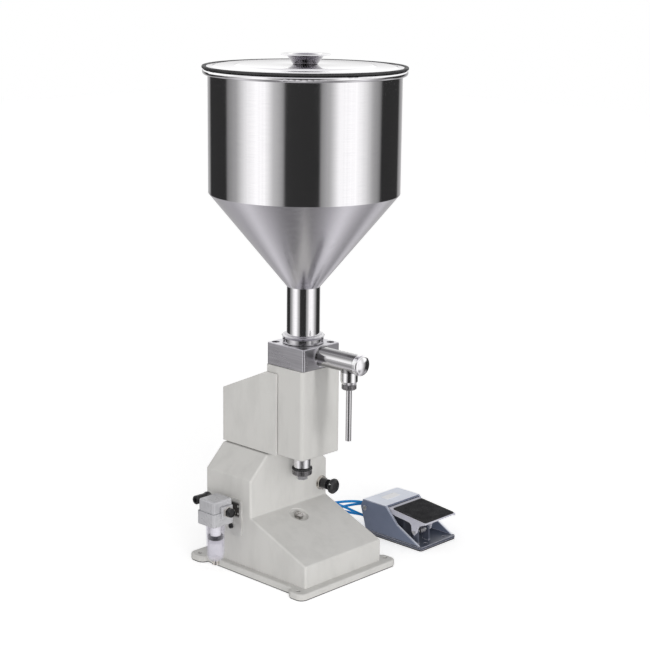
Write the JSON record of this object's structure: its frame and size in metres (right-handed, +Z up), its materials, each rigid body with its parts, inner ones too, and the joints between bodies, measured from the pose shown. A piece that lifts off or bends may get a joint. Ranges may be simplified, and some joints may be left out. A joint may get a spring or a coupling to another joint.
{
  "type": "piston liquid filler",
  "caption": "Table-top piston filler: polished cone hopper with lid, valve block and side nozzle on a painted column and sloped base, air filter, push-pull valve and foot valve on blue hoses.",
  "frame": {"origin": "where the vertical pump and hopper axis meets the floor the machine stands on", "axes": "+Z up along the pump axis, +X to the machine's right (towards the foot valve), -Y to the front, the way the outlet barrel points"},
  "size_m": [0.3795, 0.2758, 0.7228],
  "materials": {
    "machine_paint": "fine satin paint",
    "mirror_steel": "mirror-polished stainless steel",
    "machined_steel": "machined and brushed",
    "spring_steel": "dark drawn wire",
    "plain_aluminium": "machined",
    "bronze": "turned",
    "black_rubber": "matte",
    "black_plastic": "glossy moulded",
    "nickel": "nickel plated",
    "filter_alloy": "bead-blasted casting",
    "clear_bowl": "clear moulded",
    "white_filter": "porous",
    "black_screw": "black oxide",
    "pedal_alloy": "blue-grey hammered lacquer on a casting",
    "blue_hose": "smooth polyurethane"
  },
  "bodies": {
    "frame": {"air_fittings": "nickel", "air_hoses": "blue_hose", "base_housing": "machine_paint", "base_plate": "machine_paint", "case_screws": "machined_steel", "column_bracket": "machined_steel", "column_shell": "machine_paint", "cylinder_caps": "plain_aluminium", "cylinder_tubes": "plain_aluminium", "end_cap": "mirror_steel", "filter_baffle": "black_plastic", "filter_bowl": "clear_bowl", "filter_bracket": "filter_alloy", "filter_cap": "filter_alloy", "filter_element": "white_filter", "filter_head": "filter_alloy", "filter_screws": "black_screw", "hand_valve": "black_plastic", "hand_valve_nut": "nickel", "hopper": "mirror_steel", "hopper_collar": "mirror_steel", "inlet_elbow": "black_plastic", "inside_nuts": "machined_steel", "nozzle_nut": "mirror_steel", "nozzle_pipe": "mirror_steel", "outlet_barrel": "mirror_steel", "pedal_base": "pedal_alloy", "pedal_housing": "pedal_alloy", "pedal_springs": "spring_steel", "pedal_valve": "plain_aluminium", "port_plug": "black_plastic", "rear_hood": "machine_paint", "rod_bushes": "bronze", "rubber_mats": "black_rubber", "rubber_seals": "black_rubber", "stack_bolts": "machined_steel", "stop_bolt": "machined_steel", "treadle_pin": "machined_steel", "valve_block": "machined_steel", "valve_guides": "machined_steel", "valve_seats": "machined_steel", "valve_springs": "spring_steel"},
    "piston": {"piston_rod": "mirror_steel", "air_piston": "plain_aluminium", "filling_piston": "plain_aluminium", "piston_seals": "black_rubber", "bumper_ring": "black_rubber", "lock_nut": "machined_steel"},
    "stop_nut": {"stop_nut": "machined_steel"},
    "inlet_valve": {"inlet_valve": "machined_steel"},
    "outlet_valve": {"outlet_valve": "machined_steel"},
    "valve_knob": {"hand_valve_knob": "black_plastic"},
    "lid": {"lid": "mirror_steel", "lid_gasket": "black_rubber", "lid_knob": "mirror_steel", "lid_screw": "machined_steel"},
    "drain": {"drain_cock": "nickel"},
    "treadle": {"treadle": "pedal_alloy", "treadle_pad": "black_rubber"},
    "plunger": {"pedal_plunger": "machined_steel"}
  },
  "joints": [
    {"name": "pump_stroke", "type": "slide", "parent": "frame", "child": "piston", "axis": [0, 0, 1], "range_m": [0, 0.0235]},
    {"name": "stop_nut_turn", "type": "hinge", "parent": "piston", "child": "stop_nut", "pos_m": [0, 0, 0.139], "axis": [0, 0, 1], "continuous": true},
    {"name": "inlet_valve_lift", "type": "slide", "parent": "frame", "child": "inlet_valve", "axis": [0, 0, -1], "range_m": [0, 0.004], "stiffness_N_per_m": 400, "springref_m": -0.001, "deforming": ["valve_springs"]},
    {"name": "outlet_valve_lift", "type": "slide", "parent": "frame", "child": "outlet_valve", "axis": [0, -1, 0], "range_m": [0, 0.004], "stiffness_N_per_m": 300, "springref_m": -0.001, "deforming": ["valve_springs"]},
    {"name": "hand_valve_push", "type": "slide", "parent": "frame", "child": "valve_knob", "axis": [0, 1, 0], "range_m": [0, 0.005]},
    {"name": "lid_lift", "type": "slide", "parent": "frame", "child": "lid", "axis": [0, 0, 1], "range_m": [0, 0.12]},
    {"name": "drain_push", "type": "slide", "parent": "frame", "child": "drain", "axis": [0, 0, 1], "range_m": [0, 0.0018]},
    {"name": "treadle_press", "type": "hinge", "parent": "frame", "child": "treadle", "pos_m": [0.2, -0.068, 0.0236], "axis": [-1, 0, 0], "range_deg": [0, 8], "stiffness_Nm_per_rad": 1.5, "springref_deg": -11.46, "deforming": ["pedal_springs"]},
    {"name": "plunger_push", "type": "slide", "parent": "frame", "child": "plunger", "axis": [0, 0, -1], "range_m": [0, 0.006], "deforming": ["pedal_springs"]}
  ],
  "couplings": [
    {"joint": "plunger_push", "follows": "treadle_press", "m_per_rad": 0.0415}
  ]
}
